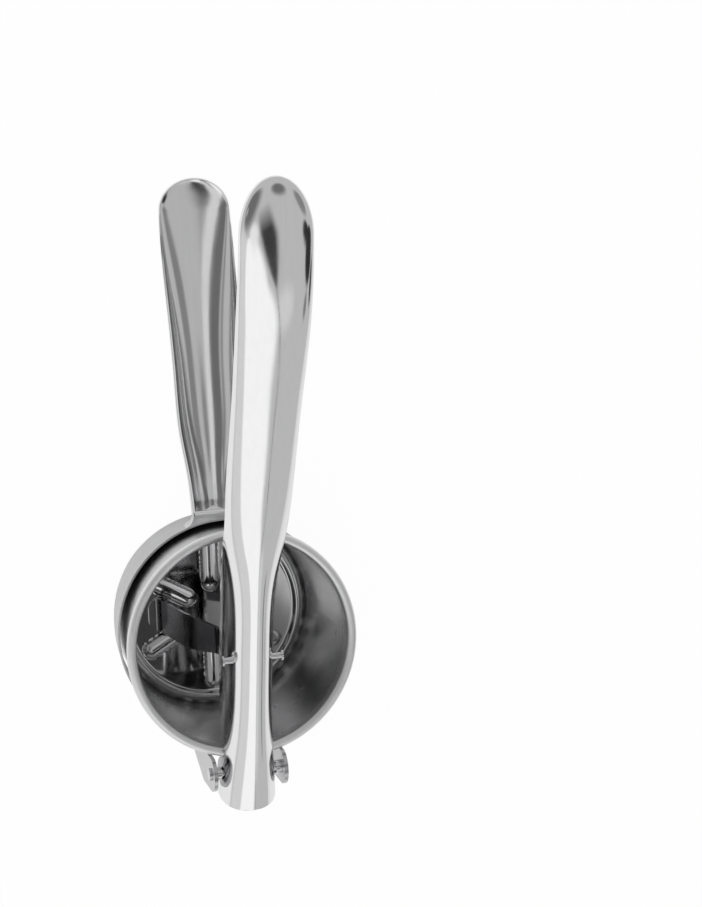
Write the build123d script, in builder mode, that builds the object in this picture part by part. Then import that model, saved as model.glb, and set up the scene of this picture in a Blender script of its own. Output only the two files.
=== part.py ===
"""Hand-held potato ricer: perforated basket, one-piece holder and handle, lever and plunger.

Frame: origin at the centre of the basket's underside, +Z up the basket's axis to its mouth,
+Y out along the two handles, X along the hinge pin. Millimetres. Drawn closed, with the
plunger at the bottom of the basket.
"""

import os
from math import hypot, radians, sin

from build123d import *

# Basket: a tapered cup of thin sheet with a flared, turned-down lip and a perforated floor
basket_sheet = 0.9
basket_height = 66.0
floor_inner_radius = 43.2
mouth_inner_radius = 45.9
floor_corner_radius = 3.2
lip_flare_radius = 2.1
lip_flat = 0.1
lip_edge_radius = 1.9
lip_turn_down = 0.5
hole_radius = 1.6
hole_pitch = 6.0
hole_field_radius = 38.0

# Holder: the ring that the basket sits in and the fixed handle, pressed from one sheet
holder_sheet = 1.0
ring_bottom = 7.0
ring_back_bottom = 20.0
ring_rise_start_y = 32.0
ring_rise_end_y = -20.0
ring_top = 35.5
ring_gap_top = 1.85
seat_clearance = 0.1
neck_length = 3.9
neck_half_width = 13.2
neck_depth = 9.0
neck_fillet = 5.0
handle_tip_y = 193.2
handle_tip_round = 14.5
handle_tip_edge = 2.1
handle_rim_slope = 0.262

# Lever: an arched sheet over the basket, hinged at its heel
lever_sheet = 1.3
lever_tip_y = 203.1
lever_tip_round = 23.0
skirt = 12.0
tip_margin = 0.1

# Hinge: two ears on a curved base behind the lip, and one pin through the lever's walls
hinge_reach = 6.5
hinge_z = 63.5
hinge_pin_radius = 1.7
hinge_head_radius = 2.7
hinge_head_thick = 1.0
washer_radius = 2.9
washer_side_gap = 0.15
ear_inner_x = 14.6
ear_sheet = 1.6
ear_radius = 7.4
ear_straight_bottom = 48.0
base_margin = 1.0
heel_length = 16.0
heel_top_z = 70.8
heel_section_reach = 21.5
hinge_section_reach = 1.5
lobe_radius = 7.3
lobe_corner_reach = 8.5
lobe_corner_z = 55.5
lip_gap = 0.9
notch_corner_radius = 1.5
notch_step = 2.0

# Plunger: a strap on a cross pin in the lever, and a ribbed disc
plunger_y = -2.2
plunger_z = 80.0
plunger_pin_radius = 1.5
plunger_head_radius = 2.4
plunger_head_thick = 0.9
plunger_pin_reach = 13.1
strap_sheet = 1.2
strap_top_x = 3.8
strap_top_rise = 2.6
strap_top_width = 6.6
strap_knee_x = 6.9
strap_knee_z = 49.5
strap_knee_width = 13.0
strap_shoulder_x = 17.0
strap_shoulder_z = 37.0
strap_foot_x = 23.0
strap_foot_length = 5.5
strap_foot_width = 15.0
strap_foot_round = 5.0
strap_top_bend = 1.8
strap_knee_bend = 6.0
strap_shoulder_bend = 20.0
strap_foot_bend = 3.0
disc_side_gap = 3.7
disc_sheet = 0.9
disc_clearance = 1.3
disc_rim_height = 4.0
disc_rim_flare = 1.0
disc_corner_radius = 1.5
disc_bead_radius = 0.7
rib_count = 6
rib_width = 8.4
rib_top_width = 6.4
rib_height = 2.4
rib_inner = 8.5
rib_outer = 36.0

pin_clearance = 0.05

# Sizes and places that follow from those above
disc_radius = floor_inner_radius - disc_side_gap
lip_radius = mouth_inner_radius + lip_flare_radius + lip_flat + lip_edge_radius
hinge_y = -lip_radius - hinge_reach
lever_heel_y = hinge_y - heel_length


def basket_outer_radius(z):
    """Outside radius of the basket's wall at height z."""
    share = (z - basket_sheet) / (basket_height - basket_sheet)
    return floor_inner_radius + (mouth_inner_radius - floor_inner_radius) * share + basket_sheet


# The ring opens faster than the basket tapers, and the basket is seated at its lower edge
ring_bottom_inner = basket_outer_radius(ring_bottom) + seat_clearance
ring_top_inner = basket_outer_radius(ring_top) + ring_gap_top
ring_slope = (ring_top_inner - ring_bottom_inner) / (ring_top - ring_bottom)
neck_edge_y = ring_top_inner + holder_sheet + neck_length

# Arched sections along each arm: place along Y, springing height, crown height, half width
lever_sections = [
    (hinge_y - heel_section_reach, 57.0, 68.8, 12.6),
    (hinge_y - hinge_section_reach, 61.0, 75.0, 11.8),
    (hinge_y + heel_section_reach, 64.0, 81.0, 10.5),
    (0.0, 67.5, 89.0, 10.8),
    (30.0, 76.5, 96.0, 11.3),
    (50.0, 90.5, 101.8, 12.9),
    (75.0, 104.8, 112.2, 13.8),
    (110.0, 121.6, 127.6, 14.1),
    (150.0, 139.9, 145.0, 14.9),
    (180.0, 148.0, 151.8, 14.6),
    (206.0, 149.8, 153.2, 14.6),
]
handle_sections = [
    (40.0, 38.7, 16.6, 13.2),
    (58.0, 34.0, 15.4, 13.2),
    (70.0, 30.8, 13.5, 14.0),
    (84.0, 27.1, 10.9, 15.5),
    (110.0, 20.3, 6.4, 15.7),
    (145.0, 11.2, 2.2, 16.0),
    (172.0, 5.2, 0.6, 16.3),
    (196.0, 2.2, 0.6, 16.3),
]
# The lever's lower edge over the basket and up to the grip, in (y, z)
lever_edge = [
    (-20.0, 61.1),
    (0.0, 65.4),
    (20.0, 71.6),
    (38.0, 79.8),
    (56.0, 95.0),
    (75.0, 104.0),
    (110.0, 120.6),
    (150.0, 138.9),
    (180.0, 147.0),
    (206.0, 149.0),
]
# How far each half arch runs upright from its springing, and level from its crown
arch_upright = 0.60
arch_level = 0.56


def arm(sections, inset, depth):
    """Loft a solid arm through its arched sections, thinned by inset, with skirts of depth."""
    profiles = []
    for y, spring, full_crown, full_width in sections:
        side = 1 if full_crown > spring else -1
        crown = full_crown - side * inset
        width = full_width - inset
        knee = spring + arch_upright * (crown - spring)
        foot = spring - side * depth
        level = arch_level * width
        with BuildSketch(Plane.XZ.offset(-y)) as profile:
            with BuildLine():
                Bezier((-width, spring), (-width, knee), (-level, crown), (0, crown))
                Bezier((0, crown), (level, crown), (width, knee), (width, spring))
                Polyline((width, spring), (width, foot), (-width, foot), (-width, spring))
            make_face()
        profiles.append(profile.sketch)
    loft(profiles)


def tip_cut(tip_y, round_length, half_width):
    """Cut the square end of an arm to a half ellipse."""
    start_y = tip_y - round_length
    end_y = tip_y + round_length
    with BuildSketch(Plane.XY) as waste:
        with BuildLine():
            EllipticalCenterArc((0, start_y), half_width, round_length, arc_size=180)
            Polyline(
                (-half_width, start_y),
                (-2 * half_width, start_y),
                (-2 * half_width, end_y),
                (2 * half_width, end_y),
                (2 * half_width, start_y),
                (half_width, start_y),
            )
        make_face()
    extrude(waste.sketch, amount=lever_tip_y, both=True, mode=Mode.SUBTRACT)


def cross_hole(y, z, radius):
    """Bore along X through the part being built."""
    with BuildSketch(Plane.YZ) as bore:
        with Locations((y, z)):
            Circle(radius)
    extrude(bore.sketch, amount=lip_radius, both=True, mode=Mode.SUBTRACT)


def cross_cylinder(y, z, radius, start, end):
    """Add a cylinder along X from start to end to the part being built."""
    with BuildSketch(Plane.YZ.offset(start)) as end_face:
        with Locations((y, z)):
            Circle(radius)
    extrude(end_face.sketch, amount=end - start)


def headed_pin(y, z, radius, head_radius, head_thick, reach):
    """Add a pin along X with a flat head at each end, reach being half its length."""
    cross_cylinder(y, z, radius, -reach, reach)
    cross_cylinder(y, z, head_radius, -reach, -reach + head_thick)
    cross_cylinder(y, z, head_radius, reach - head_thick, reach)


def ring_cone(growth, low, high, mode):
    """Revolve a solid cone along the ring's inner wall, grown outwards, from low to high."""
    radius_low = ring_bottom_inner + growth + ring_slope * (low - ring_bottom)
    radius_high = ring_bottom_inner + growth + ring_slope * (high - ring_bottom)
    with BuildSketch(Plane.XZ) as half:
        with BuildLine():
            Polyline((0, low), (radius_low, low), (radius_high, high), (0, high), close=True)
        make_face()
    revolve(half.sketch, axis=Axis.Z, mode=mode)


def hole_centres():
    """Centres of the floor's holes, in staggered rows round the plain middle."""
    row_pitch = hole_pitch * sin(radians(60))
    rows = int(hole_field_radius / row_pitch)
    columns = int(hole_field_radius / hole_pitch) + 1
    grid = [
        (hole_pitch * (column + (row % 2) / 2), row_pitch * row)
        for row in range(-rows, rows + 1)
        for column in range(-columns, columns + 1)
    ]
    return [(x, y) for x, y in grid if hole_pitch / 2 < hypot(x, y) <= hole_field_radius]


os.makedirs("parts", exist_ok=True)

# ---------------------------------------------------------------- basket
with BuildPart() as basket:
    with BuildSketch(Plane.XZ):
        with BuildLine():
            FilletPolyline(
                (0, basket_sheet),
                (floor_inner_radius, basket_sheet),
                (mouth_inner_radius, basket_height),
                (lip_radius, basket_height),
                (lip_radius, basket_height - lip_edge_radius - lip_turn_down),
                radius=[floor_corner_radius, lip_flare_radius, lip_edge_radius],
            )
            offset(amount=basket_sheet, side=Side.RIGHT)
        make_face()
    revolve(axis=Axis.Z)
    with BuildSketch(Plane.XY):
        with Locations(*hole_centres()):
            Circle(hole_radius)
    extrude(amount=basket_sheet, mode=Mode.SUBTRACT)
basket.part.label = "basket"
export_step(basket.part, "parts/basket.step")

# ---------------------------------------------------------------- holder: ring and handle
with BuildPart() as channel:
    arm(handle_sections, holder_sheet, skirt + holder_sheet)
    with BuildSketch(Plane.XY):
        with Locations((0, neck_edge_y)):
            Rectangle(4 * neck_half_width, handle_tip_y, align=(Align.CENTER, Align.MIN))
    extrude(amount=lip_radius, both=True, mode=Mode.INTERSECT)

with BuildPart() as holder:
    arm(handle_sections, 0, skirt)
    add(channel.part, mode=Mode.SUBTRACT)
    # The rim falls in a line from the shelf behind the ring to the handle's tip
    rim_end_y = handle_tip_y - 2 * handle_tip_round
    rim_end_z = ring_top - handle_rim_slope * (rim_end_y - neck_edge_y)
    with BuildSketch(Plane.YZ):
        with BuildLine():
            Spline(
                (neck_edge_y, ring_top),
                (rim_end_y, rim_end_z),
                (handle_tip_y, handle_tip_edge),
                tangents=[(1, -handle_rim_slope), (1, 0)],
            )
            Polyline(
                (handle_tip_y, handle_tip_edge),
                (handle_tip_y + skirt, handle_tip_edge),
                (handle_tip_y + skirt, basket_height),
                (0, basket_height),
                (0, ring_top),
                (neck_edge_y, ring_top),
            )
        make_face()
    extrude(amount=lip_radius, both=True, mode=Mode.SUBTRACT)
    tip_cut(handle_tip_y, handle_tip_round, handle_sections[-2][3] + tip_margin)
    # Fillets in plan where the neck's sides run into the ring
    with BuildSketch(Plane.XY.offset(ring_top)) as neck:
        Circle(ring_top_inner + holder_sheet)
        with Locations((0, neck_edge_y)):
            Rectangle(2 * neck_half_width, neck_edge_y, align=(Align.CENTER, Align.MAX))
        inner_corners = [
            vertex for vertex in neck.vertices()
            if 0 < vertex.Y < neck_edge_y - neck_length / 2
            and abs(abs(vertex.X) - neck_half_width) < seat_clearance
        ]
        fillet(inner_corners, neck_fillet)
        Circle(ring_top_inner + holder_sheet - ring_slope * neck_depth, mode=Mode.SUBTRACT)
        with Locations((0, ring_top)):
            Rectangle(4 * neck_half_width, ring_top, mode=Mode.INTERSECT)
    extrude(neck.sketch, amount=-neck_depth)
    # The shelf is open from below, between the ring and the channel's end wall
    with BuildSketch(Plane.XY.offset(ring_top - holder_sheet)) as pocket:
        with Locations((0, neck_edge_y - holder_sheet)):
            Rectangle(
                2 * (neck_half_width - holder_sheet), lip_radius,
                align=(Align.CENTER, Align.MAX),
            )
    extrude(pocket.sketch, amount=-basket_height, mode=Mode.SUBTRACT)
    ring_cone(0, ring_bottom - skirt, ring_top + skirt, Mode.SUBTRACT)
    with BuildSketch(Plane.XZ) as ring_wall:
        with BuildLine():
            Polyline(
                (ring_bottom_inner, ring_bottom),
                (ring_bottom_inner + holder_sheet, ring_bottom),
                (ring_top_inner + holder_sheet, ring_top),
                (ring_top_inner, ring_top),
                close=True,
            )
        make_face()
    revolve(ring_wall.sketch, axis=Axis.Z)
    # The ring's lower edge rises from the handle's side to the hinge's side
    with BuildSketch(Plane.YZ) as under_ring:
        with BuildLine():
            Spline(
                (ring_rise_end_y, ring_back_bottom),
                (ring_rise_start_y, ring_bottom),
                tangents=[(1, 0), (1, 0)],
            )
            Polyline(
                (ring_rise_start_y, ring_bottom),
                (ring_rise_start_y, ring_bottom - skirt),
                (-lip_radius, ring_bottom - skirt),
                (-lip_radius, ring_back_bottom),
                (ring_rise_end_y, ring_back_bottom),
            )
        make_face()
    extrude(under_ring.sketch, amount=lip_radius, both=True, mode=Mode.SUBTRACT)
holder.part.label = "holder"
export_step(holder.part, "parts/holder.step")

# ---------------------------------------------------------------- hinge bracket
base_bottom = ring_back_bottom + base_margin
base_top = ring_top - base_margin
with BuildPart() as hinge_bracket:
    with BuildSketch(Plane.YZ):
        with BuildLine():
            rear = hinge_y - ear_radius
            front = hinge_y + ear_radius
            ThreePointArc((rear, hinge_z), (hinge_y, hinge_z + ear_radius), (front, hinge_z))
            Polyline(
                (front, hinge_z),
                (front, ear_straight_bottom),
                (-ring_top_inner + ear_sheet, base_top),
                (-ring_top_inner + ear_sheet, base_bottom),
                (-ring_top_inner - 2 * ear_sheet, base_bottom),
                (rear, ear_straight_bottom),
                (rear, hinge_z),
            )
        make_face()
        with Locations((hinge_y, hinge_z)):
            Circle(hinge_pin_radius + pin_clearance, mode=Mode.SUBTRACT)
    extrude(amount=ear_inner_x + ear_sheet, both=True)
    with BuildSketch(Plane.YZ):
        with Locations((0, 0)):
            Rectangle(4 * lip_radius, 4 * lip_radius)
    extrude(amount=ear_inner_x, both=True, mode=Mode.SUBTRACT)
    # Curved base that lies against the ring
    with BuildSketch(Plane.XY.offset(base_bottom)):
        Circle(ring_top_inner + holder_sheet + ear_sheet)
        Rectangle(
            2 * (ear_inner_x + ear_sheet), 2 * lip_radius,
            align=(Align.CENTER, Align.MAX), mode=Mode.INTERSECT,
        )
    extrude(amount=base_top - base_bottom)
    ring_cone(holder_sheet, 0, basket_height, Mode.SUBTRACT)
hinge_bracket.part.label = "hinge_bracket"
export_step(hinge_bracket.part, "parts/hinge_bracket.step")

# ---------------------------------------------------------------- hinge pin and washers
with BuildPart() as hinge_pin:
    headed_pin(
        hinge_y, hinge_z, hinge_pin_radius, hinge_head_radius, hinge_head_thick,
        ear_inner_x + ear_sheet + pin_clearance + hinge_head_thick,
    )
hinge_pin.part.label = "hinge_pin"
export_step(hinge_pin.part, "parts/hinge_pin.step")

lever_side_x = lever_sections[1][3]
for name, side in (("hinge_washer_left", -1), ("hinge_washer_right", 1)):
    with BuildPart() as washer:
        cross_cylinder(
            hinge_y, hinge_z, washer_radius,
            side * (lever_side_x + washer_side_gap), side * (ear_inner_x - pin_clearance),
        )
        cross_hole(hinge_y, hinge_z, hinge_pin_radius + pin_clearance)
    washer.part.label = name
    export_step(washer.part, f"parts/{name}.step")

# ---------------------------------------------------------------- lever
with BuildPart() as lever_core:
    arm(lever_sections, lever_sheet, skirt + lever_sheet)

with BuildPart() as lever:
    arm(lever_sections, 0, skirt)
    add(lever_core.part, mode=Mode.SUBTRACT)
    # Lower edge: heel, lobes round the hinge pin, notch over the lip, then the long curve
    notch_z = basket_height + basket_sheet + lip_gap
    notch_rear = hinge_y + lobe_radius
    notch_front = -mouth_inner_radius + notch_corner_radius
    notch_low = lever_edge[0][1] + notch_step
    waste_z = lever_sections[0][1] - 2 * skirt
    waste_y = lever_sections[0][0] - skirt
    with BuildSketch(Plane.YZ) as under_lever:
        with BuildLine():
            Polyline(
                (waste_y, waste_z),
                (waste_y, heel_top_z),
                (lever_heel_y, heel_top_z),
                (hinge_y - lobe_corner_reach, lobe_corner_z),
                (hinge_y, hinge_z - lobe_radius),
            )
            RadiusArc((hinge_y, hinge_z - lobe_radius), (notch_rear, hinge_z), -lobe_radius)
            FilletPolyline(
                (notch_rear, hinge_z),
                (notch_rear, notch_z),
                (notch_front, notch_z),
                (notch_front, notch_low),
                radius=notch_corner_radius,
            )
            Spline((notch_front, notch_low), *lever_edge)
            Polyline(lever_edge[-1], (lever_edge[-1][0], waste_z), (waste_y, waste_z))
        make_face()
    extrude(under_lever.sketch, amount=lip_radius, both=True, mode=Mode.SUBTRACT)
    tip_cut(lever_tip_y, lever_tip_round, lever_sections[-2][3] + tip_margin)
    cross_hole(hinge_y, hinge_z, hinge_pin_radius + pin_clearance)
    cross_hole(plunger_y, plunger_z, plunger_pin_radius + pin_clearance)
lever.part.label = "lever"
export_step(lever.part, "parts/lever.step")

# ---------------------------------------------------------------- plunger pin
with BuildPart() as plunger_pin:
    headed_pin(
        plunger_y, plunger_z, plunger_pin_radius, plunger_head_radius, plunger_head_thick,
        plunger_pin_reach,
    )
plunger_pin.part.label = "plunger_pin"
export_step(plunger_pin.part, "parts/plunger_pin.step")

# ---------------------------------------------------------------- plunger disc
disc_bottom = basket_sheet + disc_clearance
disc_top = disc_bottom + disc_sheet


def rib_body(base_z, inset, mode):
    """One pressed rib out along X: a round-ended ridge that narrows to its flat top."""
    length = rib_outer - rib_inner - 2 * inset
    slope_in = rib_width - rib_top_width
    profiles = []
    for z, narrowing in ((base_z, 0), (base_z + rib_height, slope_in)):
        with BuildSketch(Plane.XY.offset(z)) as slot:
            with Locations(((rib_outer + rib_inner) / 2, 0)):
                SlotOverall(length - narrowing, rib_width - 2 * inset - narrowing)
        profiles.append(slot.sketch)
    loft(profiles, mode=mode)


with BuildPart() as rib_shell:
    rib_body(disc_top, 0, Mode.ADD)
with BuildPart() as rib_hollow:
    rib_body(disc_bottom, disc_sheet, Mode.ADD)

with BuildPart() as plunger_disc:
    with BuildSketch(Plane.XZ):
        with BuildLine():
            FilletPolyline(
                (0, disc_bottom),
                (disc_radius - disc_rim_flare, disc_bottom),
                (disc_radius, disc_bottom + disc_rim_height),
                radius=disc_corner_radius,
            )
            offset(amount=disc_sheet, side=Side.LEFT)
        make_face()
        with Locations((disc_radius - disc_bead_radius, disc_bottom + disc_rim_height)):
            Circle(disc_bead_radius)
    revolve(axis=Axis.Z)
    with PolarLocations(0, rib_count, start_angle=180 / rib_count):
        add(rib_shell.part)
    with PolarLocations(0, rib_count, start_angle=180 / rib_count):
        add(rib_hollow.part, mode=Mode.SUBTRACT)
plunger_disc.part.label = "plunger_disc"
export_step(plunger_disc.part, "parts/plunger_disc.step")

# ---------------------------------------------------------------- plunger strap
strap_toe_x = strap_foot_x + strap_foot_length
with BuildPart() as plunger_strap:
    with BuildSketch(Plane.XZ) as bent_strip:
        with BuildLine():
            right = [
                (strap_top_x, plunger_z + strap_top_rise - strap_sheet),
                (strap_knee_x, strap_knee_z),
                (strap_shoulder_x, strap_shoulder_z),
                (strap_foot_x, disc_top),
                (strap_toe_x, disc_top),
            ]
            left = [(-x, z) for x, z in reversed(right)]
            bends = [strap_foot_bend, strap_shoulder_bend, strap_knee_bend, strap_top_bend]
            FilletPolyline(*left, *right, radius=[*bends, *reversed(bends)])
            offset(amount=strap_sheet, side=Side.LEFT)
        make_face()
    extrude(bent_strip.sketch, amount=lip_radius, both=True)
    with BuildSketch(Plane.YZ) as side_outline:
        with BuildLine():
            half_top, half_knee, half_foot = (
                strap_top_width / 2, strap_knee_width / 2, strap_foot_width / 2
            )
            Polyline(
                (plunger_y - half_top, plunger_z + strap_top_rise),
                (plunger_y + half_top, plunger_z + strap_top_rise),
                (plunger_y + half_knee, strap_knee_z),
                (half_foot, strap_shoulder_z),
                (half_foot, disc_bottom),
                (-half_foot, disc_bottom),
                (-half_foot, strap_shoulder_z),
                (plunger_y - half_knee, strap_knee_z),
                close=True,
            )
        make_face()
        with Locations((plunger_y, plunger_z)):
            Circle(plunger_pin_radius + pin_clearance, mode=Mode.SUBTRACT)
    extrude(side_outline.sketch, amount=lip_radius, both=True, mode=Mode.INTERSECT)
    # Round the toes in plan
    with BuildSketch(Plane.XY) as plan_outline:
        RectangleRounded(2 * strap_toe_x, strap_foot_width, strap_foot_round)
    extrude(plan_outline.sketch, amount=lip_radius + plunger_z, mode=Mode.INTERSECT)
plunger_strap.part.label = "plunger_strap"
export_step(plunger_strap.part, "parts/plunger_strap.step")
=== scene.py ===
"""Looks of the potato ricer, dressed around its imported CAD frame.

Everything is in the frame's own axes: +Z up the basket, +Y out along the handles, X along
the hinge pin. Sizes below are in millimetres and become metres where a mesh is made. The
lamp's place, the floor and the materials' scales and heights are in metres.
"""

from math import cos, pi, radians, sin, sqrt

import bpy
import numpy as np
from mathutils import Matrix, Vector


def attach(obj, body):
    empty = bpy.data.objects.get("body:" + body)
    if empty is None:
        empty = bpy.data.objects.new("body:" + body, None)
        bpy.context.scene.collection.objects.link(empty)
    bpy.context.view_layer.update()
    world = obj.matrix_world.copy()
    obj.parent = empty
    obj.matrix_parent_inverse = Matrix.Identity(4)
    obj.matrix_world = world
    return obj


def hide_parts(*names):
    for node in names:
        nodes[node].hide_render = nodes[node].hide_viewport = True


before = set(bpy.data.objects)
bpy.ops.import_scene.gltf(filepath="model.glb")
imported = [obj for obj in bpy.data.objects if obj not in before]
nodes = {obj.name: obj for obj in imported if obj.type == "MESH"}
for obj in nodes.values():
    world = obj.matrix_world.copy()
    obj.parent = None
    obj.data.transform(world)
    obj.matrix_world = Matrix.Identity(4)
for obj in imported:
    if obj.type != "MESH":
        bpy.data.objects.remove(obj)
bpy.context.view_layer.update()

MM = 0.001
scene = bpy.context.scene

# ------------------------------------------------------------------ sizes
LEVER_SHEET = 1.3
HOLDER_SHEET = 1.0
DISC_SHEET = 0.9
ARCH_UPRIGHT = 0.60
ARCH_LEVEL = 0.56
SKIRT = 12.0

HINGE_Y, HINGE_Z = -56.5, 63.5
LOBE = 7.3
HEEL_Y, HEEL_TOP = -72.4, 70.8
LOBE_CORNER_Y, LOBE_CORNER_Z = -65.0, 55.5
NOTCH_FRONT, NOTCH_TOP, NOTCH_LOW = -44.4, 67.8, 63.1
LEVER_TIP_START, LEVER_TIP_LENGTH = 180.1, 23.0

# Place along Y, springing height, crown height and half width of each arched section
LEVER_SECTIONS = [
    (-78.0, 57.0, 68.8, 12.6),
    (-58.0, 61.0, 75.0, 11.8),
    (-35.0, 64.0, 81.0, 10.5),
    (0.0, 67.5, 89.0, 10.8),
    (30.0, 76.5, 96.0, 11.3),
    (50.0, 90.5, 101.8, 12.9),
    (75.0, 104.8, 112.2, 13.8),
    (110.0, 121.6, 127.6, 14.1),
    (150.0, 139.9, 145.0, 14.9),
    (180.0, 148.0, 151.8, 14.6),
    (206.0, 149.8, 153.2, 14.6),
]
LEVER_EDGE = [
    (NOTCH_FRONT, NOTCH_LOW),
    (-20.0, 61.1),
    (0.0, 65.4),
    (20.0, 71.6),
    (38.0, 79.8),
    (56.0, 95.0),
    (75.0, 104.0),
    (110.0, 120.6),
    (150.0, 138.9),
    (180.0, 147.0),
    (206.0, 149.0),
]
HANDLE_SECTIONS = [
    (40.0, 38.7, 16.6, 13.2),
    (58.0, 34.0, 15.4, 13.2),
    (70.0, 30.8, 13.5, 14.0),
    (84.0, 27.1, 10.9, 15.5),
    (110.0, 20.3, 6.4, 15.7),
    (145.0, 11.2, 2.2, 16.0),
    (172.0, 5.2, 0.6, 16.3),
    (196.0, 2.2, 0.6, 16.3),
]
HANDLE_TIP_START, HANDLE_TIP_LENGTH = 178.7, 14.5
HANDLE_TIP_EDGE = 2.1
RIM_SLOPE = 0.262
RIM_TURN_Y = 164.2

RING_TOP, RING_BOTTOM, RING_BACK_BOTTOM = 35.5, 7.0, 20.0
RING_RISE_START, RING_RISE_END = 32.0, -20.0
RING_TOP_RADIUS, RING_BOTTOM_RADIUS = 48.38, 45.45
NECK_EDGE_Y = 52.28
NECK_HALF_WIDTH = 13.2
NECK_FILLET = 5.0
NECK_FLOOR_Z = 17.6
NECK_ROWS = 6
SHELF_ROLL = 1.6
WALL_FOOT, WALL_INSET = 2.6, 0.3

DISC_RADIUS = 39.5
DISC_BOTTOM = 2.2
DISC_RIM_HEIGHT = 4.0
RIB_COUNT = 6
RIB_HALF_WIDTH, RIB_FLANK, RIB_HEIGHT = 4.2, 1.0, 2.6
RIB_DOME = 0.36
RIB_INNER, RIB_OUTER = 8.5, 36.0

SECTION_SAMPLES = 121
ARM_COLUMNS = 30
ROUND_STEPS = 288
DISC_STEPS = 384


# ------------------------------------------------------------------ mesh helpers
def spline_through(knots):
    """A natural cubic spline through rows of (place, value, value, ...), as a function."""
    table = np.array(knots, float)
    place, values = table[:, 0], table[:, 1:]
    count = len(place)
    gap = np.diff(place)
    matrix = np.eye(count)
    right = np.zeros_like(values)
    for row in range(1, count - 1):
        matrix[row, row - 1] = gap[row - 1]
        matrix[row, row] = 2 * (gap[row - 1] + gap[row])
        matrix[row, row + 1] = gap[row]
        right[row] = 6 * (
            (values[row + 1] - values[row]) / gap[row]
            - (values[row] - values[row - 1]) / gap[row - 1]
        )
    bend = np.linalg.solve(matrix, right)

    def value_at(y):
        piece = int(np.clip(np.searchsorted(place, y) - 1, 0, count - 2))
        width = gap[piece]
        near, far = place[piece + 1] - y, y - place[piece]
        return (
            (bend[piece] * near**3 + bend[piece + 1] * far**3) / (6 * width)
            + (values[piece] / width - bend[piece] * width / 6) * near
            + (values[piece + 1] / width - bend[piece + 1] * width / 6) * far
        )

    return value_at


def half_section(spring, crown, half_width, edge, count):
    """Points (x, z) from the crown, down one side of an arch and its skirt, to the edge."""
    side = 1 if crown > spring else -1
    knee = spring + ARCH_UPRIGHT * (crown - spring)
    level = ARCH_LEVEL * half_width
    t = np.linspace(0, 1, SECTION_SAMPLES)
    x = 3 * (1 - t) ** 2 * t * level + 3 * (1 - t) * t**2 * half_width + t**3 * half_width
    z = (1 - t) ** 3 * crown + 3 * (1 - t) ** 2 * t * crown + 3 * (1 - t) * t**2 * knee
    z += t**3 * spring
    x = np.append(x, half_width)
    z = np.append(z, spring - side * SKIRT)
    height = side * z
    stop = side * edge
    if height[0] <= stop:
        x, z = np.zeros(2), np.full(2, crown)
    elif height[-1] < stop:
        last = int(np.argmax(height < stop))
        share = (height[last - 1] - stop) / (height[last - 1] - height[last])
        x = np.append(x[:last], x[last - 1] + share * (x[last] - x[last - 1]))
        z = np.append(z[:last], edge)
    run = np.concatenate([[0], np.cumsum(np.hypot(np.diff(x), np.diff(z)))])
    steps = np.linspace(0, run[-1], count)
    return np.interp(steps, run, x), np.interp(steps, run, z)


def grid_faces(rows, columns, closed=False, offset=0):
    """Quads over a grid of points stored row by row."""
    faces = []
    last = columns if closed else columns - 1
    for row in range(rows - 1):
        for column in range(last):
            after = (column + 1) % columns
            faces.append((
                offset + row * columns + column,
                offset + row * columns + after,
                offset + (row + 1) * columns + after,
                offset + (row + 1) * columns + column,
            ))
    return faces


def make_object(name, grids, body, replaced, material):
    """One smooth mesh from grids of (points, closed, flipped), riding with its CAD body."""
    vertices, faces = [], []
    for points, closed, flipped in grids:
        points = np.asarray(points, float)
        rows, columns = points.shape[:2]
        quads = grid_faces(rows, columns, closed, len(vertices))
        faces += [quad[::-1] for quad in quads] if flipped else quads
        vertices += (points.reshape(-1, 3) * MM).tolist()
    mesh = bpy.data.meshes.new(name)
    mesh.from_pydata(vertices, [], faces)
    mesh.validate()
    mesh.shade_smooth()
    obj = bpy.data.objects.new(name, mesh)
    scene.collection.objects.link(obj)
    obj.data.materials.append(material)
    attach(obj, body)
    for node in replaced:
        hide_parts(node)
    return obj


def weld(obj):
    """Join coincident points before anything is thickened."""
    modifier = obj.modifiers.new("weld", "WELD")
    modifier.merge_threshold = 0.01 * MM


def thicken(obj, sheet, rounding):
    """Give a surface its sheet thickness on the inner side, with softened edges."""
    solid = obj.modifiers.new("sheet", "SOLIDIFY")
    solid.thickness = sheet * MM
    solid.offset = -1.0
    solid.use_even_offset = True
    soften(obj, rounding)


def soften(obj, rounding, angle=50.0):
    """Round an object's sharp edges a little, as a tumbled sheet part has them."""
    edge = obj.modifiers.new("edge", "BEVEL")
    edge.width = rounding * MM
    edge.segments = 3
    edge.limit_method = "ANGLE"
    edge.angle_limit = radians(angle)
    edge.harden_normals = True


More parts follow.
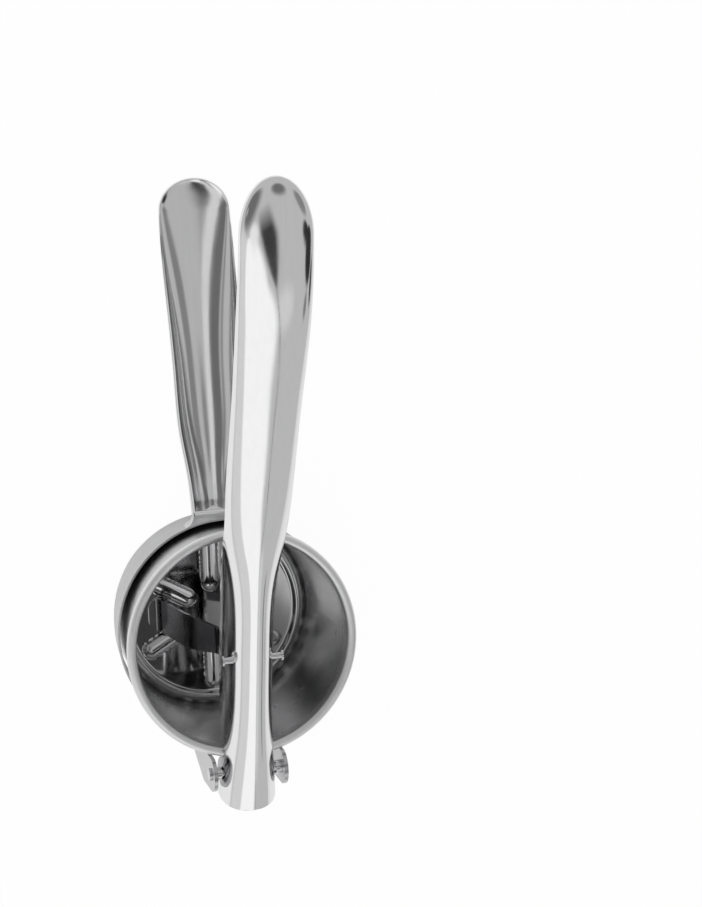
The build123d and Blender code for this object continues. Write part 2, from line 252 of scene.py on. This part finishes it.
# ------------------------------------------------------------------ arms
def arm_rows(sections, edge_at, rows, tip_start, tip_length, tip_rim, hold):
    """Rows of points over an arched arm, and its spoon-shaped tip.

    The tip follows the rise of tip_rim: all of it with hold 0, its rim alone as hold grows.
    """
    section_at = spline_through(sections)
    points = []
    for y in rows:
        spring, crown, half_width = section_at(y)
        x, z = half_section(spring, crown, half_width, edge_at(y), ARM_COLUMNS)
        right = np.stack([x, np.full_like(x, y), z], -1)
        left = right[:0:-1] * (-1, 1, 1)
        points.append(np.concatenate([left, right]))
    spring, crown, half_width = section_at(tip_start)
    x, z = half_section(spring, crown, half_width, edge_at(tip_start), ARM_COLUMNS)
    run = np.concatenate([[0], np.cumsum(np.hypot(np.diff(x), np.diff(z)))])
    share = run / run[-1]
    for turn in np.radians(np.linspace(0, 90, 46)[1:]):
        y = tip_start + x * sin(turn) * tip_length / half_width
        lift = np.array([tip_rim(place) for place in y]) - tip_rim(tip_start)
        height = z + lift * share**hold
        right = np.stack([x * cos(turn), y, height], -1)
        left = right[:0:-1] * (-1, 1, 1)
        points.append(np.concatenate([left, right]))
    return np.array(points)


lever_crown = spline_through([(row[0], row[2]) for row in LEVER_SECTIONS])
lever_low = spline_through(LEVER_EDGE)


def lever_edge(y):
    """Height of the lever's lower edge: heel, lobe round the pin, notch, then the long curve."""
    if y <= LOBE_CORNER_Y:
        share = (y - HEEL_Y) / (LOBE_CORNER_Y - HEEL_Y)
        return HEEL_TOP + share * (LOBE_CORNER_Z - HEEL_TOP)
    if y <= HINGE_Y:
        share = (y - LOBE_CORNER_Y) / (HINGE_Y - LOBE_CORNER_Y)
        return LOBE_CORNER_Z + share * (HINGE_Z - LOBE - LOBE_CORNER_Z)
    if y <= HINGE_Y + LOBE:
        return HINGE_Z - sqrt(max(0.0, LOBE**2 - (y - HINGE_Y) ** 2))
    if y < NOTCH_FRONT:
        ramp = min(1.0, (y - HINGE_Y - LOBE) / 0.5, (NOTCH_FRONT - y) / 0.5)
        floor = HINGE_Z if y < (HINGE_Y + LOBE + NOTCH_FRONT) / 2 else NOTCH_LOW
        return floor + ramp * (NOTCH_TOP - floor)
    return float(lever_low(y)[0])


def stations(*spans):
    """Places along Y from (start, end, count) spans that follow on."""
    parts = [np.linspace(start, end, count, endpoint=False) for start, end, count in spans]
    return np.concatenate([*parts, [spans[-1][1]]])


lobe_end = HINGE_Y + LOBE
lever_rows = np.concatenate([
    HEEL_Y + (LOBE_CORNER_Y - HEEL_Y) * np.linspace(0, 1, 17)[:-1] ** 1.6,
    stations((LOBE_CORNER_Y, HINGE_Y, 10))[:-1],
    HINGE_Y + LOBE * np.sin(np.linspace(0, pi / 2, 13))[:-1],
    stations(
        (lobe_end, lobe_end + 0.5, 3),
        (lobe_end + 0.5, NOTCH_FRONT - 0.5, 5),
        (NOTCH_FRONT - 0.5, NOTCH_FRONT, 3),
        (NOTCH_FRONT, 70, 90),
        (70, LEVER_TIP_START, 70),
    ),
])


def lever_tip_rim(y):
    """Rise of the lever's end along Y."""
    return float(lever_crown(y)[0])


def handle_rim(y):
    """Height of the handle's rim: a straight fall that levels out at the tip."""
    start_z = RING_TOP - RIM_SLOPE * (RIM_TURN_Y - NECK_EDGE_Y)
    if y < RIM_TURN_Y:
        return RING_TOP - RIM_SLOPE * max(0.0, y - NECK_EDGE_Y)
    end_y = HANDLE_TIP_START + HANDLE_TIP_LENGTH
    length = end_y - RIM_TURN_Y
    t = min(1.0, (y - RIM_TURN_Y) / length)
    start = (2 * t**3 - 3 * t**2 + 1) * start_z + (t**3 - 2 * t**2 + t) * length * -RIM_SLOPE
    return start + (3 * t**2 - 2 * t**3) * HANDLE_TIP_EDGE


# ------------------------------------------------------------------ ring, shelf and neck
def ring_radius(z):
    """Outside radius of the ring at height z."""
    share = (z - RING_BOTTOM) / (RING_TOP - RING_BOTTOM)
    return RING_BOTTOM_RADIUS + (RING_TOP_RADIUS - RING_BOTTOM_RADIUS) * share


def ring_low(y):
    """Height of the ring's lower edge, low at the handle and high at the hinge."""
    t = np.clip((RING_RISE_START - y) / (RING_RISE_START - RING_RISE_END), 0, 1)
    return RING_BOTTOM + (RING_BACK_BOTTOM - RING_BOTTOM) * t * t * (3 - 2 * t)


def ring_grid():
    """The ring's outer wall as rows from its lower edge to its top."""
    rows = []
    turns = np.linspace(0, 2 * pi, ROUND_STEPS, endpoint=False)
    edge_radius = 46.5
    for share in np.linspace(0, 1, 17):
        low = ring_low(edge_radius * np.sin(turns))
        z = low + share * (RING_TOP - low)
        radius = ring_radius(z)
        rows.append(np.stack([radius * np.cos(turns), radius * np.sin(turns), z], -1))
    return np.array(rows)


handle_section_at = spline_through(HANDLE_SECTIONS)


def handle_half_width(y, z, inset=0.0):
    """Half width of the handle's channel at place y and height z."""
    spring, crown, half_width = handle_section_at(y)
    uncut = 40.0    # an edge above the whole section
    x, heights = half_section(spring, crown + inset, half_width - inset, uncut, 200)
    return float(np.interp(z, heights, x))


def fillet_arc(z, count):
    """Plan of the concave fillet from the ring to the neck's side at height z."""
    radius = float(ring_radius(z))
    side = handle_half_width(NECK_EDGE_Y, z)
    centre_x = side + NECK_FILLET
    centre_y = sqrt((radius + NECK_FILLET) ** 2 - centre_x**2)
    start = np.arctan2(-centre_y, -centre_x)
    turns = np.linspace(start, -pi, count)
    x = centre_x + NECK_FILLET * np.cos(turns)
    y = centre_y + NECK_FILLET * np.sin(turns)
    return np.stack([x, y, np.full(count, z)], -1)


def fillet_grid():
    """The fillet's wall from the shelf down to the channel's bottom, on the +X side."""
    heights = np.linspace(NECK_FLOOR_Z, RING_TOP - 0.2, 28)
    return np.array([fillet_arc(z, 14) for z in heights])


def end_wall_grid():
    """The shelf's rolled edge and the wall that closes the channel's inner end."""
    path = []
    roll, foot = SHELF_ROLL, WALL_FOOT
    for turn in np.radians(np.linspace(90, 8, 12)):
        path.append((NECK_EDGE_Y - roll + roll * cos(turn), RING_TOP - roll + roll * sin(turn)))
    floor_y = RING_TOP_RADIUS + foot
    floor_z = float(handle_section_at(floor_y)[1]) + HOLDER_SHEET
    for turn in np.radians(np.linspace(172, 262, 14)):
        path.append((floor_y + foot * cos(turn), floor_z + foot + foot * sin(turn)))
    rows = []
    for y, z in path:
        half = min(
            NECK_HALF_WIDTH - WALL_INSET,
            handle_half_width(max(y, NECK_EDGE_Y), z, WALL_INSET),
        )
        x = np.linspace(-half, half, 25)
        rows.append(np.stack([x, np.full(25, y), np.full(25, z)], -1))
    return np.array(rows)


def shelf_outline():
    """Plan of the flat shelf between the ring's inner edge and the channel."""
    arc = fillet_arc(RING_TOP, 14)[:, :2]
    start_turn = np.arctan2(arc[0, 1], arc[0, 0]) - 0.10
    ring_turns = np.linspace(start_turn, np.arctan2(arc[0, 1], arc[0, 0]), 8)[:-1]
    outer_start = [(RING_TOP_RADIUS * cos(t), RING_TOP_RADIUS * sin(t)) for t in ring_turns]
    half = outer_start + arc.tolist()
    half.append((NECK_HALF_WIDTH, NECK_EDGE_Y - SHELF_ROLL))
    mirrored = [(-x, y) for x, y in reversed(half)]
    inner_radius = RING_TOP_RADIUS - HOLDER_SHEET
    inner_turns = np.linspace(pi - start_turn, start_turn, 40)
    inner = [(inner_radius * cos(t), inner_radius * sin(t)) for t in inner_turns]
    return half + mirrored + inner


def add_shelf(material):
    """The shelf as one flat plate."""
    outline = shelf_outline()
    mesh = bpy.data.meshes.new("holder_shelf")
    top = [(x * MM, y * MM, RING_TOP * MM) for x, y in outline]
    mesh.from_pydata(top, [], [tuple(range(len(top)))])
    mesh.validate()
    obj = bpy.data.objects.new("holder_shelf", mesh)
    scene.collection.objects.link(obj)
    obj.data.materials.append(material)
    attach(obj, "root")
    thicken(obj, HOLDER_SHEET, 0.3)
    return obj


# ------------------------------------------------------------------ plunger disc
def disc_grid():
    """The disc's upper face: flat plate, six pressed ribs, turned-up rim."""
    turns = np.linspace(0, 2 * pi, DISC_STEPS, endpoint=False)
    flat_end = DISC_RADIUS - 3.2
    radii = np.concatenate([
        np.linspace(0.05, RIB_INNER - 1, 10, endpoint=False),
        np.linspace(RIB_INNER - 1, flat_end, 64),
    ])
    rows = []
    axes = [pi / RIB_COUNT + 2 * pi * k / RIB_COUNT for k in range(RIB_COUNT)]
    top = DISC_BOTTOM + DISC_SHEET
    for radius in radii:
        x, y = radius * np.cos(turns), radius * np.sin(turns)
        height = np.zeros_like(turns)
        for axis in axes:
            along = x * cos(axis) + y * sin(axis)
            across = -x * sin(axis) + y * cos(axis)
            low = RIB_INNER + RIB_HALF_WIDTH
            high = RIB_OUTER - RIB_HALF_WIDTH
            reach = np.hypot(along - np.clip(along, low, high), across)
            t = np.clip((RIB_HALF_WIDTH - reach) / RIB_FLANK, 0, 1)
            dome = 1 - RIB_DOME * np.clip(reach / (RIB_HALF_WIDTH - RIB_FLANK), 0, 1) ** 2
            height = np.maximum(height, t * t * (3 - 2 * t) * dome)
        rows.append(np.stack([x, y, top + RIB_HEIGHT * height], -1))
    rim = [(38.0, 3.35), (38.35, 3.75), (38.55, 4.4), (38.65, 5.1), (38.7, 5.9)]
    for radius, z in [(37.0, 3.1), (37.55, 3.15), *rim]:
        rows.append(np.stack([radius * np.cos(turns), radius * np.sin(turns),
                              np.full_like(turns, z)], -1))
    return np.array(rows)


def bead_grid():
    """The bead round the disc's rim."""
    turns = np.linspace(0, 2 * pi, ROUND_STEPS, endpoint=False)
    centre_radius, centre_z, bead = DISC_RADIUS - 0.72, DISC_BOTTOM + DISC_RIM_HEIGHT, 0.7
    rows = []
    for turn in np.linspace(0, 2 * pi, 17):
        radius = centre_radius + bead * cos(turn)
        z = centre_z + bead * sin(turn)
        rows.append(np.stack([radius * np.cos(turns), radius * np.sin(turns),
                              np.full_like(turns, z)], -1))
    return np.array(rows)


# ------------------------------------------------------------------ camera
VIEW_YAW, VIEW_PITCH, VIEW_ROLL = 15.78, 11.05, -1.77
VIEW_CENTRE = (-216.82, 269.55, 1008.83)
LENS = 93.75


def add_camera():
    """A level top view, turned by yaw towards -X, pitch towards +Y and roll about the view."""
    data = bpy.data.cameras.new("camera")
    data.lens = LENS
    camera = bpy.data.objects.new("camera", data)
    scene.collection.objects.link(camera)
    yaw, pitch, roll = radians(VIEW_YAW), radians(VIEW_PITCH), radians(VIEW_ROLL)
    back = Vector((-sin(yaw) * cos(pitch), sin(pitch), cos(yaw) * cos(pitch)))
    level_right = Vector((cos(yaw), 0, sin(yaw)))
    level_up = back.cross(level_right)
    right = level_right * cos(roll) + level_up * sin(roll)
    up = level_up * cos(roll) - level_right * sin(roll)
    turn = Matrix((right, up, back)).transposed().to_4x4()
    camera.matrix_world = Matrix.Translation(Vector(VIEW_CENTRE) * MM) @ turn
    scene.camera = camera


# ------------------------------------------------------------------ materials
def add_node(tree, kind, **values):
    """A node of that kind, with its properties and its inputs set from values."""
    node = tree.nodes.new(kind)
    for key, value in values.items():
        if hasattr(node, key):
            setattr(node, key, value)
        else:
            node.inputs[key.replace("_", " ")].default_value = value
    return node


def remap(tree, source, low, high, to_low, to_high, smooth=False):
    """A clamped Map Range from a socket."""
    node = add_node(tree, "ShaderNodeMapRange")
    if smooth:
        node.interpolation_type = "SMOOTHSTEP"
    node.inputs["From Min"].default_value = low
    node.inputs["From Max"].default_value = high
    node.inputs["To Min"].default_value = to_low
    node.inputs["To Max"].default_value = to_high
    tree.links.new(source, node.inputs["Value"])
    return node.outputs["Result"]


def steel(name, tint, roughness, grain_scale, grain_depth, smudge, streak, wave=0.0):
    """Stainless steel: directional grain, faint waves of polishing and smudged roughness."""
    material = bpy.data.materials.new(name)
    material.use_nodes = True
    tree = material.node_tree
    link = tree.links.new
    shader = tree.nodes["Principled BSDF"]
    shader.inputs["Metallic"].default_value = 1.0
    place = add_node(tree, "ShaderNodeTexCoord")
    grain_space = add_node(tree, "ShaderNodeMapping")
    grain_space.inputs["Scale"].default_value = grain_scale
    link(place.outputs["Object"], grain_space.inputs["Vector"])
    grain = add_node(tree, "ShaderNodeTexNoise", Scale=1.0, Detail=4.0, Roughness=0.65)
    link(grain_space.outputs["Vector"], grain.inputs["Vector"])
    cloud = add_node(tree, "ShaderNodeTexNoise", Scale=55.0, Detail=4.0, Roughness=0.55)
    link(place.outputs["Object"], cloud.inputs["Vector"])
    rough = remap(tree, cloud.outputs["Fac"], 0.3, 0.7, max(0.03, roughness - smudge),
                  roughness + smudge)
    link(rough, shader.inputs["Roughness"])
    shade = remap(tree, grain.outputs["Fac"], 0.25, 0.75, 1.0 - streak, 1.0)
    colour = add_node(tree, "ShaderNodeMix", data_type="RGBA", blend_type="MULTIPLY")
    colour.inputs["Factor"].default_value = 1.0
    colour.inputs["A"].default_value = (*tint, 1.0)
    link(shade, colour.inputs["B"])
    link(colour.outputs["Result"], shader.inputs["Base Color"])
    bump = add_node(tree, "ShaderNodeBump", Strength=1.0, Distance=grain_depth)
    link(grain.outputs["Fac"], bump.inputs["Height"])
    last = bump
    if wave:
        swell = add_node(tree, "ShaderNodeTexNoise", Scale=22.0, Detail=1.0, Roughness=0.4)
        link(place.outputs["Object"], swell.inputs["Vector"])
        last = add_node(tree, "ShaderNodeBump", Strength=1.0, Distance=wave)
        link(swell.outputs["Fac"], last.inputs["Height"])
        link(bump.outputs["Normal"], last.inputs["Normal"])
    link(last.outputs["Normal"], shader.inputs["Normal"])
    return material


def satin_rim(material, low, high, roughness, tint):
    """From the height low up to high, a finish turns into an evenly blasted satin one."""
    tree = material.node_tree
    shader = tree.nodes["Principled BSDF"]
    place = add_node(tree, "ShaderNodeTexCoord")
    split = add_node(tree, "ShaderNodeSeparateXYZ")
    tree.links.new(place.outputs["Object"], split.inputs[0])
    share = remap(tree, split.outputs["Z"], low, high, 0.0, 1.0, smooth=True)
    for socket, value, kind in (
        ("Roughness", roughness, "FLOAT"), ("Base Color", (*tint, 1.0), "RGBA"),
    ):
        mix = add_node(tree, "ShaderNodeMix", data_type=kind)
        mix.inputs["B"].default_value = value
        tree.links.new(shader.inputs[socket].links[0].from_socket, mix.inputs["A"])
        tree.links.new(share, mix.inputs["Factor"])
        tree.links.new(mix.outputs["Result"], shader.inputs[socket])


# ------------------------------------------------------------------ stage
# Soft panels of the studio as (azimuth, elevation, inner and outer half angle, brightness)
STUDIO_BASE = 0.52    # brightness between the panels
STUDIO_PANELS = [
    (-140, 28, 20, 34, 0.68),
    (-62, 42, 1, 10, 0.66),
    (-112, 50, 17, 21, 1.0),
    (-98, 38, 18, 23, 1.0),
    (-125, 71, 3, 10, 0.85),
    (160, 60, 12, 26, 0.16),
    (170, 50, 1, 6, 0.45),
    (10, 42, 7, 13, 0.24),
    (48, 66, 5, 12, 0.16),
    (-22, 29, 9, 12, 0.03),
    (-18, 42, 5, 8, 0.03),
    (-38, 22, 2, 5, 0.22),
    (-25, 10, 4, 7, 0.04),
]
# A dark tongue that comes down from overhead: its azimuth, the elevations of its point and of
# its full width, the sine of its half width, and its brightness
TONGUE = (-69, 52, 70, 0.125, 0.045)
# Share of plain white in the floor, as the camera sees it and as the steel mirrors it
FLOOR_SEEN, FLOOR_MIRRORED = 0.96, 0.2


def tongue_mask(tree, direction):
    """Share of the dark tongue in a direction: widest overhead, ending in a point."""
    azimuth, point, full, half_width, _ = TONGUE
    turn = radians(azimuth)
    link = tree.links.new
    parts = []
    for axis in ((cos(turn), sin(turn), 0), (-sin(turn), cos(turn), 0), (0, 0, 1)):
        node = add_node(tree, "ShaderNodeVectorMath", operation="DOT_PRODUCT")
        node.inputs[1].default_value = axis
        link(direction, node.inputs[0])
        parts.append(node.outputs["Value"])
    along, across, up = parts
    off = add_node(tree, "ShaderNodeMath", operation="ABSOLUTE")
    link(across, off.inputs[0])
    ratio = add_node(tree, "ShaderNodeMath", operation="DIVIDE")
    link(off.outputs[0], ratio.inputs[0])
    link(remap(tree, up, sin(radians(point)), sin(radians(full)), 0.004, half_width),
         ratio.inputs[1])
    inside = remap(tree, ratio.outputs[0], 0.55, 1.25, 1.0, 0.0, smooth=True)
    product = add_node(tree, "ShaderNodeMath", operation="MULTIPLY")
    link(inside, product.inputs[0])
    link(remap(tree, along, -0.05, 0.25, 0.0, 1.0), product.inputs[1])
    return product.outputs[0]


def add_world():
    """A room that is white to the camera and shows its soft panels to every other ray."""
    world = bpy.data.worlds.new("room")
    scene.world = world
    world.use_nodes = True
    tree = world.node_tree
    link = tree.links.new
    place = add_node(tree, "ShaderNodeTexCoord")
    level = None
    for azimuth, elevation, inner, outer, brightness in STUDIO_PANELS:
        turn, tilt = radians(azimuth), radians(elevation)
        axis = (cos(turn) * cos(tilt), sin(turn) * cos(tilt), sin(tilt))
        facing = add_node(tree, "ShaderNodeVectorMath", operation="DOT_PRODUCT")
        facing.inputs[1].default_value = axis
        link(place.outputs["Generated"], facing.inputs[0])
        mask = remap(tree, facing.outputs["Value"], cos(radians(outer)), cos(radians(inner)),
                     0.0, 1.0, smooth=True)
        mix = add_node(tree, "ShaderNodeMix", data_type="FLOAT")
        mix.inputs["A"].default_value = STUDIO_BASE
        mix.inputs["B"].default_value = brightness
        link(mask, mix.inputs["Factor"])
        if level is not None:
            link(level, mix.inputs["A"])
        level = mix.outputs["Result"]
    dark = add_node(tree, "ShaderNodeMix", data_type="FLOAT")
    dark.inputs["B"].default_value = TONGUE[-1]
    link(tongue_mask(tree, place.outputs["Generated"]), dark.inputs["Factor"])
    link(level, dark.inputs["A"])
    level = dark.outputs["Result"]
    path = add_node(tree, "ShaderNodeLightPath")
    seen = add_node(tree, "ShaderNodeMix", data_type="FLOAT")
    seen.inputs["B"].default_value = 1.0
    link(path.outputs["Is Camera Ray"], seen.inputs["Factor"])
    link(level, seen.inputs["A"])
    link(seen.outputs["Result"], tree.nodes["Background"].inputs["Color"])


def add_floor():
    """A floor that is white to the camera, keeps a soft shadow, and mirrors darker."""
    bpy.ops.mesh.primitive_plane_add(size=8.0, location=(0, 0, -0.0002))
    floor = bpy.context.object
    floor.name = "floor"
    material = bpy.data.materials.new("pale_floor")
    material.use_nodes = True
    tree = material.node_tree
    link = tree.links.new
    shader = tree.nodes["Principled BSDF"]
    shader.inputs["Base Color"].default_value = (0.95, 0.95, 0.95, 1.0)
    shader.inputs["Roughness"].default_value = 0.9
    shader.inputs["Specular IOR Level"].default_value = 0.0
    glow = add_node(tree, "ShaderNodeEmission", Strength=1.0)
    glow.inputs["Color"].default_value = (1, 1, 1, 1)
    path = add_node(tree, "ShaderNodeLightPath")
    mirrored = remap(tree, path.outputs["Is Glossy Ray"], 0.0, 1.0, 0.0, FLOOR_MIRRORED)
    seen = remap(tree, path.outputs["Is Camera Ray"], 0.0, 1.0, 0.0, FLOOR_SEEN)
    share = add_node(tree, "ShaderNodeMath", operation="MAXIMUM")
    link(seen, share.inputs[0])
    link(mirrored, share.inputs[1])
    mix = add_node(tree, "ShaderNodeMixShader")
    link(share.outputs[0], mix.inputs[0])
    link(shader.outputs[0], mix.inputs[1])
    link(glow.outputs[0], mix.inputs[2])
    link(mix.outputs[0], tree.nodes["Material Output"].inputs["Surface"])
    floor.data.materials.append(material)


def add_softbox(name, place, target, size, power):
    """A large rectangular lamp at place that faces target."""
    data = bpy.data.lights.new(name, "AREA")
    data.shape = "RECTANGLE"
    data.size, data.size_y = size
    data.energy = power
    lamp = bpy.data.objects.new(name, data)
    scene.collection.objects.link(lamp)
    lamp.location = place
    aim = Vector(target) - Vector(place)
    lamp.rotation_euler = aim.to_track_quat("-Z", "Y").to_euler()
    lamp.visible_glossy = False


add_camera()
add_world()
add_floor()
add_softbox("key", (-0.6, 0.2, 1.6), (0, 0.05, 0.05), (1.6, 1.6), 14)

lever_steel = steel("lever_steel", (0.90, 0.90, 0.905), 0.08, (500, 12, 500), 0.000004,
                    0.03, 0.04, 0.00006)
handle_steel = steel("handle_steel", (0.84, 0.84, 0.845), 0.12, (500, 12, 500), 0.000005,
                     0.03, 0.05, 0.00006)
# The ring's brushed grain and roughness are its own finish. Its tint is painted shade: it is
# darker than the neck and handle, which are the same holder sheet.
ring_painted_shade_steel = steel("ring_painted_shade_steel", (0.66, 0.66, 0.665), 0.34, (40, 40, 2200), 0.00001, 0.05, 0.2)
basket_steel = steel("basket_steel", (0.78, 0.78, 0.785), 0.24, (60, 60, 900), 0.000006,
                     0.04, 0.08, 0.00005)
satin_rim(basket_steel, 0.0585, 0.0655, 0.45, (0.86, 0.86, 0.865))
disc_steel = steel("disc_steel", (0.66, 0.66, 0.665), 0.06, (150, 150, 150), 0.000003,
                   0.02, 0.03, 0.00003)
# Painted shade: the strap's tint is far darker than any steel and stands in for the dark
# surroundings it mirrors.
strap_steel = steel("strap_steel", (0.30, 0.30, 0.31), 0.16, (200, 200, 60), 0.000004,
                    0.03, 0.08)
# Painted highlight: the bead is tinted brighter than the disc it is pressed from, so the rim
# line shows bright.
bead_painted_highlight_steel = steel("bead_painted_highlight_steel", (0.95, 0.95, 0.95), 0.22, (150, 150, 150), 0.000003,
                   0.03, 0.04)
neck_steel = steel("neck_steel", (0.86, 0.86, 0.865), 0.24, (60, 60, 900), 0.000006,
                   0.05, 0.1, 0.00005)
pin_steel = steel("pin_steel", (0.72, 0.72, 0.73), 0.16, (2000, 90, 90), 0.000005, 0.03, 0.08)
bracket_steel = steel("bracket_steel", (0.60, 0.60, 0.61), 0.22, (90, 90, 900), 0.000006,
                      0.04, 0.10)

finish = {
    "basket": basket_steel, "hinge_bracket": bracket_steel, "hinge_pin": pin_steel,
    "hinge_washer_left": pin_steel, "hinge_washer_right": pin_steel,
    "plunger_pin": pin_steel, "plunger_strap": strap_steel,
}
for name, material in finish.items():
    nodes[name].data.materials.clear()
    nodes[name].data.materials.append(material)
    for polygon in nodes[name].data.polygons:
        polygon.material_index = 0

lever_points = arm_rows(LEVER_SECTIONS, lever_edge, lever_rows, LEVER_TIP_START,
                        LEVER_TIP_LENGTH, lever_tip_rim, 0)
lever = make_object("lever_shell", [(lever_points, False, False)], "lever", ["lever"],
                    lever_steel)
weld(lever)
thicken(lever, LEVER_SHEET, 0.3)

handle_rows = stations((NECK_EDGE_Y - 5.8, NECK_EDGE_Y, NECK_ROWS), (NECK_EDGE_Y, 90, 34),
                       (90, HANDLE_TIP_START, 60))
handle_points = arm_rows(HANDLE_SECTIONS, handle_rim, handle_rows, HANDLE_TIP_START,
                         HANDLE_TIP_LENGTH, handle_rim, 2)
# The first rows stop inside the ring's wall
for row in handle_points[:NECK_ROWS]:
    near = np.sqrt((ring_radius(row[:, 2]) - 0.5) ** 2 - row[:, 0] ** 2)
    row[:, 1] = np.maximum(row[:, 1], near)
handle = make_object("handle_shell", [(handle_points, False, True)], "root", ["holder"],
                     handle_steel)
weld(handle)
thicken(handle, HOLDER_SHEET, 0.25)

ring = make_object("holder_ring", [(ring_grid(), True, False)], "root", [], ring_painted_shade_steel)
thicken(ring, HOLDER_SHEET, 0.25)
fillet_points = fillet_grid()
make_object(
    "holder_neck",
    [(fillet_points, False, False), (fillet_points * (-1, 1, 1), False, True),
     (end_wall_grid(), False, False)],
    "root", [], neck_steel,
)
add_shelf(neck_steel)

disc = make_object("disc_plate", [(disc_grid(), True, True)], "plunger", ["plunger_disc"],
                   disc_steel)
thicken(disc, DISC_SHEET - 0.05, 0.1)
make_object("disc_bead", [(bead_grid(), True, False)], "plunger", [], bead_painted_highlight_steel)

for name, rounding in (("plunger_strap", 0.25), ("hinge_bracket", 0.3), ("hinge_pin", 0.25),
                       ("plunger_pin", 0.25)):
    soften(nodes[name], rounding)

scene.view_settings.view_transform = "Standard"
bpy.context.view_layer.update()
